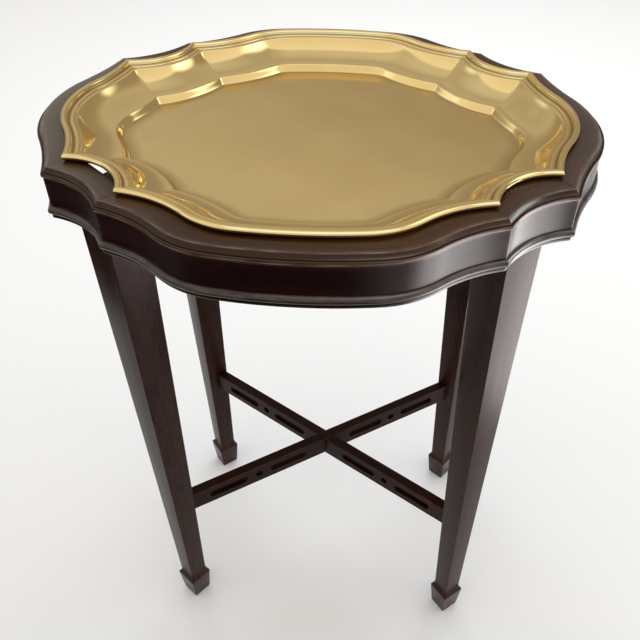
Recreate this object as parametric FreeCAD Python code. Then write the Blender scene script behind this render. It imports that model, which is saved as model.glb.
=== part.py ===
import FreeCAD, Part
import math
import os

os.makedirs("parts", exist_ok=True)

# A tea table with a lift-out brass tray. Millimetres and degrees, +Z up.
# The origin is on the floor under the middle of the table; the front faces -Y.

# Plan of the top, taken at the arris where its flat ends
TOP_HEIGHT = 620.0
HALF_WIDTH = 240.0
HALF_DEPTH = 203.4
SIDE_RISE = 35.0
FRONT_RISE = 53.4
CORNER_WIDTH = 55.0
CORNER_DEPTH = 44.0
SCOOP_DEPTH = 7.5
SIDE_BOW_EXTRA = 4.0
SIDE_CUSP_ANGLE = 14.8
FRONT_BOW_RADIUS = 400.0
FRONT_FLANK = 90.0
FRONT_SHOULDER_RADIUS = 75.0
FRONT_CUSP_ANGLE = 18.0

# Moulded edge of the top: a cove that runs out to a lip
TOP_THICKNESS = 9.5
COVE_HEIGHT = 4.0
COVE_HOLLOW = 1.2
LIP_OUT = 4.5
LIP_HEIGHT = 3.5

# Frieze under the top, and the bead along its foot
FRIEZE_OUT = 3.4
FRIEZE_HEIGHT = 24.5
FRIEZE_THICKNESS = 20.0
BEAD_OUT = 3.2
BEAD_NOSE_HEIGHT = 8.0
BEAD_FILLET_OUT = 0.8
BEAD_FILLET_HEIGHT = 3.0

# Legs, square and turned to face the corners, with spade feet
LEG_SIZE = 38.0
LEG_HOUSING = 28.5
ANKLE_SIZE = 20.9
SHOULDER_HEIGHT = 41.5
COLLAR_SIZE = 27.8
COLLAR_HEIGHT = 36.5
FOOT_SIZE = 22.6
FOOT_EASE = 1.4
CORNER_FACING = 4.8

# Pierced stretcher bars
STRETCHER_TOP = 193.0
STRETCHER_HEIGHT = 26.0
STRETCHER_THICKNESS = 12.0
PIERCING_START = 29.5
SLOT_LENGTH = 49.5
SLOT_HEIGHT = 10.0
HOLE_DIAMETER = 9.0
PIERCING_GAP = 9.6
TENON_THICKNESS = 7.0
TENON_HEIGHT = 18.0
TENON_DEPTH = 4.0

# Brass tray: plan of the rim's outer edge
TRAY_SIDE_MARGIN = 16.6
TRAY_FRONT_MARGIN = 15.4
TRAY_SIDE_RISE = 27.4
TRAY_FRONT_RISE = 47.1
TRAY_CORNER_WIDTH = 54.1
TRAY_CORNER_DEPTH = 46.3
TRAY_SCOOP_DEPTH = 14.5
TRAY_SIDE_BOW_STEP = 20.0
TRAY_SIDE_CUSP_ANGLE = 6.0
TRAY_FRONT_BOW_RADIUS = 400.0
TRAY_FRONT_FLANK = 94.0
TRAY_FRONT_SHOULDER_RADIUS = 70.0
TRAY_FRONT_CUSP_ANGLE = 7.8

# Brass tray: section, from the rim inwards
TRAY_SHEET = 1.5
RIM_LIFT = 0.3
RIM_BEAD_DIAMETER = 6.0
RIM_FLANGE = 5.6
RIM_CREST = 1.1
SHOULDER_WIDTH = 2.9
HOLLOW_WIDTH = 28.6
HOLLOW_DROP = 14.9
FLOOR_STEP_WIDTH = 3.8
FLOOR_STEP_DROP = 6.7

# Dowels and screws
DOWEL_DIAMETER = 6.0
DOWEL_LENGTH = 24.0
LEG_DOWEL_EDGE = 5.5
SCREW_INSET = 10.0
SCREW_DIAMETER = 4.0
SCREW_HEAD_DIAMETER = 7.5
SCREW_HEAD_HEIGHT = 2.4
SCREW_COUNTERBORE = 10.0
SCREW_COVER = 3.0

# Clearances
JOINT_CLEARANCE = 0.1
SEAT_CLEARANCE = 0.3

# Heights and places that follow from the sizes above
TOP_UNDERSIDE = TOP_HEIGHT - TOP_THICKNESS
FRIEZE_BOTTOM = TOP_UNDERSIDE - FRIEZE_HEIGHT
BEAD_BOTTOM = FRIEZE_BOTTOM - BEAD_NOSE_HEIGHT - BEAD_FILLET_HEIGHT
LEG_TOP = BEAD_BOTTOM + LEG_HOUSING
FRIEZE_BACK = FRIEZE_THICKNESS - FRIEZE_OUT
STRETCHER_MIDDLE = STRETCHER_TOP - STRETCHER_HEIGHT / 2
TOP_BAND = FRIEZE_THICKNESS + TRAY_SIDE_MARGIN
CUT_OVERRUN = 20.0

# The bow of each short side is a little wider than half the side is long
SIDE_BOW_RADIUS = HALF_DEPTH - FRONT_RISE - CORNER_DEPTH + SIDE_BOW_EXTRA
TRAY_SIDE_BOW_RADIUS = SIDE_BOW_RADIUS - TRAY_SIDE_BOW_STEP

UP = FreeCAD.Vector(0, 0, 1)
PARTS = {}


def vector(point, z=0.0):
    return FreeCAD.Vector(point[0], point[1], z)


def polar(angle, length=1.0):
    return (length * math.cos(angle), length * math.sin(angle))


def add(a, b, share=1.0):
    return (a[0] + share * b[0], a[1] + share * b[1])


def unit(a, b):
    """Direction from a to b in plan."""
    length = math.dist(a, b)
    return ((b[0] - a[0]) / length, (b[1] - a[1]) / length)


def turn(point, angle):
    c, s = polar(angle)
    return (c * point[0] - s * point[1], s * point[0] + c * point[1])


class Arc:
    """One arc of a plan outline. A hollow arc has its centre outside the outline."""

    def __init__(self, centre, radius, start, end, hollow=False):
        self.centre = centre
        self.radius = radius
        self.start = start
        self.end = end
        self.hollow = hollow

    def radius_at(self, inset):
        return self.radius + inset if self.hollow else self.radius - inset

    def point(self, angle, inset=0.0):
        return add(self.centre, polar(angle, self.radius_at(inset)))

    def angle_to(self, point):
        angle = math.atan2(point[1] - self.centre[1], point[0] - self.centre[0])
        middle = (self.start + self.end) / 2
        return angle + 2 * math.pi * round((middle - angle) / (2 * math.pi))

    def turned(self, angle):
        return Arc(turn(self.centre, angle), self.radius, self.start + angle, self.end + angle, self.hollow)


def bowed_run(crown, half_length, rise, bow_radius, shoulder_radius, flank, cusp_angle, facing):
    """A bowed side seen from its middle: hollow, shoulder, flat bow, shoulder, hollow.

    The bow ends where the flank begins, and the hollow meets the cusp at the cusp angle. The
    slope where shoulder and hollow meet is found by halving, so that the hollow ends on the cusp.
    """
    cusp_turn = math.radians(cusp_angle)
    bow_turn = math.asin((half_length - flank) / bow_radius)
    bow_end = polar(bow_turn, bow_radius)
    bow_centre = (crown - bow_radius, 0.0)

    def shoulder_end(slope):
        drop = bow_radius - bow_end[0] + shoulder_radius * (math.cos(bow_turn) - math.cos(slope))
        along = bow_end[1] + shoulder_radius * (math.sin(slope) - math.sin(bow_turn))
        return drop, along

    low, high = max(bow_turn, cusp_turn), math.radians(80)
    for _ in range(60):
        slope = (low + high) / 2
        drop, along = shoulder_end(slope)
        if drop + (half_length - along) * math.tan((slope + cusp_turn) / 2) < rise:
            low = slope
        else:
            high = slope
    drop, along = shoulder_end(slope)
    hollow_radius = (half_length - along) / (math.sin(slope) - math.sin(cusp_turn))
    shoulder_centre = add(add(bow_centre, bow_end), polar(bow_turn), -shoulder_radius)
    hollow_centre = add((crown - drop, along), polar(slope, hollow_radius))
    mirrored = [(centre[0], -centre[1]) for centre in (hollow_centre, shoulder_centre)]
    half_turn = math.pi
    arcs = [
        Arc(mirrored[0], hollow_radius, half_turn - cusp_turn, half_turn - slope, hollow=True),
        Arc(mirrored[1], shoulder_radius, -slope, -bow_turn),
        Arc(bow_centre, bow_radius, -bow_turn, bow_turn),
        Arc(shoulder_centre, shoulder_radius, bow_turn, slope),
        Arc(hollow_centre, hollow_radius, half_turn + slope, half_turn + cusp_turn, hollow=True),
    ]
    if flank >= half_length:
        arcs = [arcs[0], Arc(shoulder_centre, shoulder_radius, -slope, slope), arcs[4]]
    return [arc.turned(facing) for arc in arcs]


def scoop_run(first, last, depth):
    """A corner scoop: one hollow arc from cusp to cusp."""
    half_chord = math.dist(first, last) / 2
    radius = (half_chord ** 2 + depth ** 2) / (2 * depth)
    along = unit(first, last)
    outward = (along[1], -along[0])
    middle = add(first, along, half_chord)
    centre = add(middle, outward, radius - depth)
    arc = Arc(centre, radius, 0.0, 0.0, hollow=True)
    toward = math.atan2(-outward[1], -outward[0])
    spread = math.asin(half_chord / radius)
    arc.start = toward + spread
    arc.end = toward - spread
    return [arc]


class Outline:
    """Eight runs, counterclockwise from the right: four bowed sides and four corner scoops."""

    def __init__(self, half_width, half_depth, side_rise, front_rise, corner, scoop_depth, side, front):
        x_side = half_width - side_rise
        y_front = half_depth - front_rise
        x_front = x_side - corner[0]
        y_side = y_front - corner[1]
        bow, angle = side
        right = bowed_run(half_width, y_side, side_rise, bow, bow, y_side, angle, 0.0)
        bow, shoulder, flank, angle = front
        quarter = math.pi / 2
        back = bowed_run(half_depth, x_front, front_rise, bow, shoulder, flank, angle, quarter)
        self.side_cusp = (x_side, y_side)
        self.front_cusp = (x_front, y_front)
        corners = [
            [(x_side, y_side), (x_front, y_front)],
            [(-x_front, y_front), (-x_side, y_side)],
            [(-x_side, -y_side), (-x_front, -y_front)],
            [(x_front, -y_front), (x_side, -y_side)],
        ]
        scoops = [scoop_run(first, last, scoop_depth) for first, last in corners]
        left = [arc.turned(math.pi) for arc in right]
        front_run = [arc.turned(math.pi) for arc in back]
        self.runs = [right, scoops[0], back, scoops[1], left, scoops[2], front_run, scoops[3]]

    def cusp(self, index, inset):
        """The cusp where a run begins, on the outline moved in by the inset."""
        before = self.runs[index - 1][-1]
        after = self.runs[index][0]
        near = after.point(after.start)
        circles = (before.centre, before.radius_at(inset), after.centre, after.radius_at(inset))
        return circle_meeting(*circles, near)

    def edges(self, index, inset, z):
        """The arcs of one run as edges at a height."""
        run = self.runs[index]
        first = self.cusp(index, inset)
        last = self.cusp((index + 1) % len(self.runs), inset)
        made = []
        for place, arc in enumerate(run):
            start = arc.angle_to(first) if place == 0 else arc.start
            end = arc.angle_to(last) if place == len(run) - 1 else arc.end
            angles = (start, (start + end) / 2, end)
            made.append(Part.Arc(*[vector(arc.point(angle, inset), z) for angle in angles]).toShape())
        return made

    def ring(self, inset, z):
        return [edge for index in range(len(self.runs)) for edge in self.edges(index, inset, z)]


def circle_meeting(centre_a, radius_a, centre_b, radius_b, near):
    """Where two circles cross, taking the crossing closest to a point."""
    gap = math.dist(centre_a, centre_b)
    along = (radius_a ** 2 - radius_b ** 2 + gap ** 2) / (2 * gap)
    across = math.sqrt(radius_a ** 2 - along ** 2)
    direction = unit(centre_a, centre_b)
    foot = add(centre_a, direction, along)
    sides = [add(foot, (-direction[1], direction[0]), sign * across) for sign in (1, -1)]
    return min(sides, key=lambda point: math.dist(point, near))


TOP = Outline(
    HALF_WIDTH, HALF_DEPTH, SIDE_RISE, FRONT_RISE, (CORNER_WIDTH, CORNER_DEPTH), SCOOP_DEPTH,
    (SIDE_BOW_RADIUS, SIDE_CUSP_ANGLE),
    (FRONT_BOW_RADIUS, FRONT_SHOULDER_RADIUS, FRONT_FLANK, FRONT_CUSP_ANGLE),
)
TRAY = Outline(
    HALF_WIDTH - TRAY_SIDE_MARGIN, HALF_DEPTH - TRAY_FRONT_MARGIN, TRAY_SIDE_RISE, TRAY_FRONT_RISE,
    (TRAY_CORNER_WIDTH, TRAY_CORNER_DEPTH), TRAY_SCOOP_DEPTH,
    (TRAY_SIDE_BOW_RADIUS, TRAY_SIDE_CUSP_ANGLE),
    (TRAY_FRONT_BOW_RADIUS, TRAY_FRONT_SHOULDER_RADIUS, TRAY_FRONT_FLANK, TRAY_FRONT_CUSP_ANGLE),
)
RUN_NAMES = ["right", "back_right", "back", "back_left", "left", "front_left", "front", "front_right"]
BOWED_NAMES = RUN_NAMES[::2]


def prism(points, bottom, top):
    wire = Part.makePolygon([vector(point, bottom) for point in points + points[:1]])
    return Part.Face(wire).extrude(UP * (top - bottom))


def box_along(centre, direction, length, width, bottom, top):
    """A box with its length along a plan direction."""
    across = (-direction[1], direction[0])
    corners = []
    for ends, sides in ((-1, -1), (1, -1), (1, 1), (-1, 1)):
        corners.append(add(add(centre, direction, ends * length / 2), across, sides * width / 2))
    return prism(corners, bottom, top)


def rod(diameter, start, direction, length):
    return Part.makeCylinder(diameter / 2, length, start, direction)


def mitre_prism(index, outer, inner, bottom, top):
    """The space of one run, between the mitres at its two cusps."""
    points = []
    for cusp_index in (index, (index + 1) % len(TOP.runs)):
        tip = TOP.cusp(cusp_index, outer)
        root = TOP.cusp(cusp_index, inner)
        inward = unit(tip, root)
        points.append((add(tip, inward, -HALF_DEPTH), add(root, inward, CUT_OVERRUN)))
    (out_a, in_a), (out_b, in_b) = points
    return prism([out_a, out_b, in_b, in_a], bottom - CUT_OVERRUN, top + CUT_OVERRUN)


def moulding(index, profile):
    """A profile carried along one run of the top's outline and mitred at both cusps.

    The profile is a closed list of edges, each of two points for a line or three for an arc,
    as (inset from the arris, height).
    """
    solids = []
    run = TOP.runs[index]
    for place, arc in enumerate(run):
        overrun = CUT_OVERRUN / arc.radius * (-1 if arc.hollow else 1)
        start = arc.start - (overrun if place == 0 else 0.0)
        end = arc.end + (overrun if place == len(run) - 1 else 0.0)
        edges = []
        for points in profile:
            places = [FreeCAD.Vector(arc.radius_at(inset), 0, z) for inset, z in points]
            curve = Part.Arc(*places) if len(places) == 3 else Part.LineSegment(*places)
            edges.append(curve.toShape())
        face = Part.Face(Part.Wire(edges))
        face.rotate(FreeCAD.Vector(), UP, math.degrees(min(start, end)))
        face.translate(vector(arc.centre))
        solids.append(face.revolve(vector(arc.centre), UP, math.degrees(abs(end - start))))
    whole = solids[0].fuse(solids[1:]).removeSplitter() if len(solids) > 1 else solids[0]
    insets = [inset for points in profile for inset, _ in points]
    heights = [z for points in profile for _, z in points]
    return whole.common(mitre_prism(index, min(insets), max(insets), min(heights), max(heights)))


def closed_lines(points):
    """A profile of straight edges through the points and back to the first."""
    return [(a, b) for a, b in zip(points, points[1:] + points[:1])]


# Tray section, as (inset from the rim, height above the top)
def offset_section(points, distance):
    """The other face of a sheet that is level at both ends: the section moved along its normals."""
    normals = [(0.0, -1.0)]
    for a, b in zip(points, points[1:]):
        along = unit(a, b)
        normals.append((along[1], -along[0]))
    normals.append((0.0, -1.0))
    moved = []
    for point, one, two in zip(points, normals, normals[1:]):
        share = distance / (1 + one[0] * two[0] + one[1] * two[1])
        moved.append(add(point, add(one, two), share))
    return moved


def pan_upper_face():
    """Flange, shoulder, hollow side and floor step, from the rim to the floor.

    Shoulder and hollow are arcs: the slope grows to its steepest between them, and the hollow ends level.
    """
    flange_top = RIM_LIFT + TRAY_SHEET
    start = RIM_BEAD_DIAMETER + JOINT_CLEARANCE
    shoulder = start + RIM_FLANGE
    hollow = shoulder + SHOULDER_WIDTH
    steepest = 2 * math.atan(HOLLOW_DROP / HOLLOW_WIDTH)
    shoulder_radius = SHOULDER_WIDTH / math.sin(steepest)
    hollow_radius = HOLLOW_WIDTH / math.sin(steepest)
    hollow_top = flange_top - shoulder_radius * (1 - math.cos(steepest))
    points = [(start, flange_top), (shoulder, flange_top)]
    for share in (0.5, 1.0):
        slope = steepest * share
        inset = shoulder + shoulder_radius * math.sin(slope)
        points.append((inset, flange_top - shoulder_radius * (1 - math.cos(slope))))
    for share in (0.75, 0.5, 0.25, 0.0):
        slope = steepest * share
        inset = hollow + hollow_radius * (math.sin(steepest) - math.sin(slope))
        points.append((inset, hollow_top - hollow_radius * (math.cos(slope) - math.cos(steepest))))
    floor_edge, floor_step = points[-1]
    points.append((floor_edge + FLOOR_STEP_WIDTH * 0.3, floor_step - FLOOR_STEP_DROP * 0.15))
    points.append((floor_edge + FLOOR_STEP_WIDTH * 0.7, floor_step - FLOOR_STEP_DROP * 0.85))
    points.append((floor_edge + FLOOR_STEP_WIDTH, floor_step - FLOOR_STEP_DROP))
    return points


PAN_UPPER = pan_upper_face()
PAN_UNDER = offset_section(PAN_UPPER, TRAY_SHEET)


def ruled_faces(levels):
    """Ruled faces between rings of the tray's outline at successive (inset, height) levels."""
    rings = [TRAY.ring(inset, TOP_HEIGHT + height) for inset, height in levels]
    faces = []
    for lower, upper in zip(rings, rings[1:]):
        faces += [Part.makeRuledSurface(a, b) for a, b in zip(lower, upper)]
    return rings, faces


def solid_of(faces):
    shell = Part.Shell(faces)
    shell.sewShape()
    solid = Part.Solid(shell)
    if solid.Volume < 0:
        solid.reverse()
    return solid


def tray_pan():
    levels = PAN_UPPER[::-1] + PAN_UNDER
    rings, faces = ruled_faces(levels)
    faces.append(Part.Face(Part.Wire(rings[0])))
    faces.append(Part.Face(Part.Wire(rings[-1])))
    return solid_of(faces)


def tray_border():
    """Moulded rim: a round bead outside, a groove and a low crest on the flange."""
    radius = RIM_BEAD_DIAMETER / 2
    flange_top = RIM_LIFT + TRAY_SHEET + JOINT_CLEARANCE
    inner = RIM_BEAD_DIAMETER + RIM_FLANGE
    levels = [(RIM_BEAD_DIAMETER, flange_top), (RIM_BEAD_DIAMETER, RIM_LIFT)]
    facets = 9
    for step in range(facets + 1):
        angle = math.radians(-90 + 215 * step / facets)
        levels.append((radius - radius * math.cos(angle), RIM_LIFT + radius + radius * math.sin(angle)))
    groove = (RIM_BEAD_DIAMETER + RIM_FLANGE * 0.2, flange_top + RIM_CREST * 0.55)
    levels.append(groove)
    levels.append((RIM_BEAD_DIAMETER + RIM_FLANGE * 0.55, flange_top + RIM_CREST))
    levels.append((inner - RIM_FLANGE * 0.1, flange_top + RIM_CREST * 0.6))
    levels.append((inner, flange_top))
    _, faces = ruled_faces(levels + levels[:1])
    return solid_of(faces)


def tray_opening():
    """The hole in the top: it follows the tray's flange, and runs straight across each corner."""
    inset = RIM_BEAD_DIAMETER + RIM_FLANGE - SEAT_CLEARANCE
    edges = []
    for index in map(RUN_NAMES.index, BOWED_NAMES):
        side = TRAY.edges(index, inset, TOP_UNDERSIDE - CUT_OVERRUN)
        if edges:
            edges.append(Part.makeLine(edges[-1].Vertexes[-1].Point, side[0].Vertexes[0].Point))
        edges += side
    edges.append(Part.makeLine(edges[-1].Vertexes[-1].Point, edges[0].Vertexes[0].Point))
    face = Part.Face(Part.Wire(edges))
    return face.extrude(UP * (TOP_THICKNESS + 2 * CUT_OVERRUN))


# Corner frame: outward normal and leg centre in each quarter
CORNER_SIGNS = {"back_right": (1, 1), "back_left": (-1, 1), "front_left": (-1, -1), "front_right": (1, -1)}
CORNER_ALONG = unit(TOP.side_cusp, TOP.front_cusp)
CORNER_OUT = (CORNER_ALONG[1], -CORNER_ALONG[0])
CHORD_MIDDLE = add(TOP.side_cusp, CORNER_ALONG, math.dist(TOP.side_cusp, TOP.front_cusp) / 2)
LEG_FACE_BACK = SCOOP_DEPTH - FRIEZE_OUT + CORNER_FACING
LEG_CENTRE = add(CHORD_MIDDLE, CORNER_OUT, -(LEG_FACE_BACK + LEG_SIZE / 2))
LEG_DISTANCE = math.hypot(*LEG_CENTRE)


def in_corner(point, corner):
    signs = CORNER_SIGNS[corner]
    return (point[0] * signs[0], point[1] * signs[1])


def square_wire(corner, size, z):
    centre = in_corner(LEG_CENTRE, corner)
    out = in_corner(CORNER_OUT, corner)
    along = in_corner(CORNER_ALONG, corner)
    points = []
    for a, b in ((1, 1), (1, -1), (-1, -1), (-1, 1), (1, 1)):
        points.append(vector(add(add(centre, out, a * size / 2), along, b * size / 2), z))
    return Part.makePolygon(points)


def leg_blank(corner):
    """Spade foot, taper and straight top in one piece."""
    levels = [
        (FOOT_SIZE - FOOT_EASE, 0.0),
        (FOOT_SIZE, FOOT_EASE),
        (COLLAR_SIZE, COLLAR_HEIGHT),
        (ANKLE_SIZE, SHOULDER_HEIGHT),
        (LEG_SIZE, BEAD_BOTTOM),
        (LEG_SIZE, LEG_TOP),
    ]
    return Part.makeLoft([square_wire(corner, size, z) for size, z in levels], True, True)


def leg_housing(corner):
    """The notch that a leg top fills in its corner block."""
    centre = in_corner(LEG_CENTRE, corner)
    size = LEG_SIZE + 2 * JOINT_CLEARANCE
    out = in_corner(CORNER_OUT, corner)
    return box_along(centre, out, size, size, BEAD_BOTTOM - CUT_OVERRUN, LEG_TOP + JOINT_CLEARANCE)


def top_profile():
    lip_top = TOP_HEIGHT - COVE_HEIGHT
    lip_bottom = lip_top - LIP_HEIGHT
    cove_middle = (-LIP_OUT / 2 + COVE_HOLLOW, TOP_HEIGHT - COVE_HEIGHT / 2 - COVE_HOLLOW)
    return [
        ((TOP_BAND, TOP_HEIGHT), (0.0, TOP_HEIGHT)),
        ((0.0, TOP_HEIGHT), cove_middle, (-LIP_OUT, lip_top)),
        ((-LIP_OUT, lip_top), (-LIP_OUT, lip_bottom)),
        ((-LIP_OUT, lip_bottom), (-FRIEZE_OUT, lip_bottom)),
        ((-FRIEZE_OUT, lip_bottom), (-FRIEZE_OUT, TOP_UNDERSIDE)),
        ((-FRIEZE_OUT, TOP_UNDERSIDE), (TOP_BAND, TOP_UNDERSIDE)),
        ((TOP_BAND, TOP_UNDERSIDE), (TOP_BAND, TOP_HEIGHT)),
    ]


def frieze_profile():
    corners = [
        (-FRIEZE_OUT, TOP_UNDERSIDE), (-FRIEZE_OUT, FRIEZE_BOTTOM),
        (FRIEZE_BACK, FRIEZE_BOTTOM), (FRIEZE_BACK, TOP_UNDERSIDE),
    ]
    return closed_lines(corners)


def bead_profile():
    """A half round nose over a small square fillet; its back lies just clear of the legs."""
    back = CORNER_FACING - FRIEZE_OUT - JOINT_CLEARANCE
    nose_bottom = FRIEZE_BOTTOM - BEAD_NOSE_HEIGHT
    fillet = -FRIEZE_OUT - BEAD_FILLET_OUT
    tip = -FRIEZE_OUT - BEAD_OUT
    round_start = tip + BEAD_NOSE_HEIGHT / 2
    nose_top = (round_start, FRIEZE_BOTTOM)
    nose_end = (round_start, nose_bottom)
    return [
        ((back, FRIEZE_BOTTOM), nose_top),
        (nose_top, (tip, FRIEZE_BOTTOM - BEAD_NOSE_HEIGHT / 2), nose_end),
        (nose_end, (fillet, nose_bottom)),
        ((fillet, nose_bottom), (fillet, BEAD_BOTTOM)),
        ((fillet, BEAD_BOTTOM), (back, BEAD_BOTTOM)),
        ((back, BEAD_BOTTOM), (back, FRIEZE_BOTTOM)),
    ]


def mitre_dowels(clearance):
    """One dowel square across each mitre of the frieze, in the middle of the wood."""
    rods = []
    length = DOWEL_LENGTH + 2 * clearance
    for index in range(len(TOP.runs)):
        tip = TOP.cusp(index, -FRIEZE_OUT)
        root = TOP.cusp(index, FRIEZE_BACK)
        inward = unit(tip, root)
        across = (-inward[1], inward[0])
        middle = add(tip, inward, math.dist(tip, root) / 2)
        start = vector(add(middle, across, -length / 2), (TOP_UNDERSIDE + FRIEZE_BOTTOM) / 2)
        rods.append(rod(DOWEL_DIAMETER + 2 * clearance, start, vector(across), length))
    return rods


def leg_dowels(clearance):
    """A dowel from each cheek of a corner block into the side of the leg top."""
    rods = []
    length = DOWEL_LENGTH + 2 * clearance
    height = (FRIEZE_BOTTOM + LEG_TOP) / 2
    for corner in CORNER_SIGNS:
        out = in_corner(CORNER_OUT, corner)
        along = in_corner(CORNER_ALONG, corner)
        line = add(in_corner(LEG_CENTRE, corner), out, LEG_SIZE / 2 - LEG_DOWEL_EDGE)
        for side in (-1, 1):
            start = add(line, along, side * (LEG_SIZE - length) / 2)
            diameter = DOWEL_DIAMETER + 2 * clearance
            rods.append(rod(diameter, vector(start, height), vector(along) * side, length))
    return rods


def screw_places():
    """On each bowed run: at the crown and at the middle of both hollows."""
    places = []
    for index in map(RUN_NAMES.index, BOWED_NAMES):
        run = TOP.runs[index]
        for arc in (run[0], run[len(run) // 2], run[-1]):
            places.append(arc.point((arc.start + arc.end) / 2, SCREW_INSET))
    return places


SCREW_SEAT = FRIEZE_BOTTOM + SCREW_COUNTERBORE
SCREW_TIP = TOP_HEIGHT - SCREW_COVER


def screw(place, seat, tip):
    """Head under the seat, shank up to the tip."""
    head = rod(SCREW_HEAD_DIAMETER, vector(place, seat - SCREW_HEAD_HEIGHT), UP, SCREW_HEAD_HEIGHT)
    return head.fuse(rod(SCREW_DIAMETER, vector(place, seat), UP, tip - seat)).removeSplitter()


def screw_hole(place, mouth, seat, tip):
    """Counterbore from the mouth to the seat, and the hole for the shank."""
    wide = SCREW_HEAD_DIAMETER + 2 * SEAT_CLEARANCE
    narrow = SCREW_DIAMETER + 2 * JOINT_CLEARANCE
    bore = rod(wide, vector(place, mouth), UP, seat - mouth)
    return bore.fuse(rod(narrow, vector(place, mouth), UP, tip + JOINT_CLEARANCE - mouth))


STRETCHER_SCREW_SEAT = STRETCHER_TOP - STRETCHER_HEIGHT + SCREW_HEAD_HEIGHT
STRETCHER_SCREW_TIP = STRETCHER_TOP - SCREW_COVER
BAR_CORNERS = {"stretcher_bar_over": "back_right", "stretcher_bar_under": "back_left"}


def bar_direction(corner):
    return unit((0.0, 0.0), in_corner(LEG_CENTRE, corner))


def bar_tenons(corner, clearance):
    """A thin tongue along the whole bar, ending inside both legs."""
    length = 2 * (LEG_DISTANCE + TENON_DEPTH + clearance)
    half = TENON_HEIGHT / 2 + clearance
    return box_along((0.0, 0.0), bar_direction(corner), length, TENON_THICKNESS + 2 * clearance,
                     STRETCHER_MIDDLE - half, STRETCHER_MIDDLE + half)


def round_slot(direction, start, length, height):
    """A hole with round ends, right through a bar; it is a plain hole when as long as it is high."""
    across = (-direction[1], direction[0])
    ends = []
    for place in (start + height / 2, start + length - height / 2):
        foot = add((direction[0] * place, direction[1] * place), across, -STRETCHER_THICKNESS)
        ends.append(rod(height, vector(foot, STRETCHER_MIDDLE), vector(across), 2 * STRETCHER_THICKNESS))
    if length <= height:
        return ends[0]
    middle = (direction[0] * (start + length / 2), direction[1] * (start + length / 2))
    body = box_along(middle, direction, length - height, 2 * STRETCHER_THICKNESS,
                     STRETCHER_MIDDLE - height / 2, STRETCHER_MIDDLE + height / 2)
    return body.fuse(ends)


def piercings(direction):
    """Slot, hole, slot along one arm, from the middle outwards."""
    cutters = []
    start = PIERCING_START
    slot = (SLOT_LENGTH, SLOT_HEIGHT)
    for length, height in (slot, (HOLE_DIAMETER, HOLE_DIAMETER), slot):
        cutters.append(round_slot(direction, start, length, height))
        start += length + PIERCING_GAP
    return cutters


def stretcher_bar(corner, legs, lap_bottom, lap_top):
    """A bar between opposite legs, shouldered against them, with half its height cut for the lap."""
    direction = bar_direction(corner)
    bottom = STRETCHER_TOP - STRETCHER_HEIGHT
    bar = box_along((0.0, 0.0), direction, 2 * LEG_DISTANCE, STRETCHER_THICKNESS, bottom, STRETCHER_TOP)
    bar = bar.cut(legs).fuse(bar_tenons(corner, 0.0)).removeSplitter()
    back = (-direction[0], -direction[1])
    bar = bar.cut(piercings(direction) + piercings(back))
    other = bar_direction("back_left" if corner == "back_right" else "back_right")
    lap = box_along((0.0, 0.0), other, STRETCHER_HEIGHT * 2, STRETCHER_THICKNESS, lap_bottom, lap_top)
    hole = screw_hole((0.0, 0.0), bottom - CUT_OVERRUN, STRETCHER_SCREW_SEAT, STRETCHER_SCREW_TIP)
    return bar.cut([lap, hole])


def build():
    opening = tray_opening()
    mouth = FRIEZE_BOTTOM - CUT_OVERRUN
    screw_holes = [screw_hole(place, mouth, SCREW_SEAT, SCREW_TIP) for place in screw_places()]
    mitre_holes = mitre_dowels(JOINT_CLEARANCE)
    leg_holes = leg_dowels(JOINT_CLEARANCE)

    PARTS["tray_pan"] = tray_pan()
    PARTS["tray_border"] = tray_border()
    for index, name in enumerate(RUN_NAMES):
        kind = "rail" if name in BOWED_NAMES else "corner"
        PARTS[f"top_{kind}_{name}"] = moulding(index, top_profile()).cut([opening] + screw_holes)
        frieze = moulding(index, frieze_profile())
        if kind == "corner":
            frieze = frieze.cut([leg_housing(name)] + leg_holes)
        PARTS[f"frieze_{kind}_{name}"] = frieze.cut(mitre_holes + screw_holes)
        PARTS[f"bead_{kind}_{name}"] = moulding(index, bead_profile())

    blanks = {corner: leg_blank(corner) for corner in CORNER_SIGNS}
    mortises = [bar_tenons(corner, JOINT_CLEARANCE) for corner in BAR_CORNERS.values()]
    for corner, blank in blanks.items():
        PARTS[f"leg_{corner}"] = blank.cut(leg_holes + mortises)

    laps = {
        "stretcher_bar_over": (STRETCHER_MIDDLE - STRETCHER_HEIGHT, STRETCHER_MIDDLE),
        "stretcher_bar_under": (STRETCHER_MIDDLE, STRETCHER_MIDDLE + STRETCHER_HEIGHT),
    }
    for name, corner in BAR_CORNERS.items():
        PARTS[name] = stretcher_bar(corner, list(blanks.values()), *laps[name])

    PARTS["mitre_dowels"] = Part.makeCompound(mitre_dowels(0.0))
    PARTS["leg_dowels"] = Part.makeCompound(leg_dowels(0.0))
    screws = [screw(place, SCREW_SEAT, SCREW_TIP) for place in screw_places()]
    PARTS["top_screws"] = Part.makeCompound(screws)
    PARTS["stretcher_screw"] = screw((0.0, 0.0), STRETCHER_SCREW_SEAT, STRETCHER_SCREW_TIP)


build()
for node, shape in PARTS.items():
    shape.exportStep(f"parts/{node}.step")
    state = "valid" if shape.isValid() else "NOT VALID"
    print(node, state, len(shape.Solids), "solids", round(shape.Volume), "mm3")
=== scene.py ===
"""Looks of the tray top tea table: dark polished mahogany and a lift-out brass tray.

Lengths are written in millimetres and turned to metres once, where a mesh is made. The table stands on
the floor at z = 0, its middle over the origin, and its front faces -Y.
"""

import math

import bmesh
import bpy
import numpy as np
from mathutils import Matrix


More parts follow.
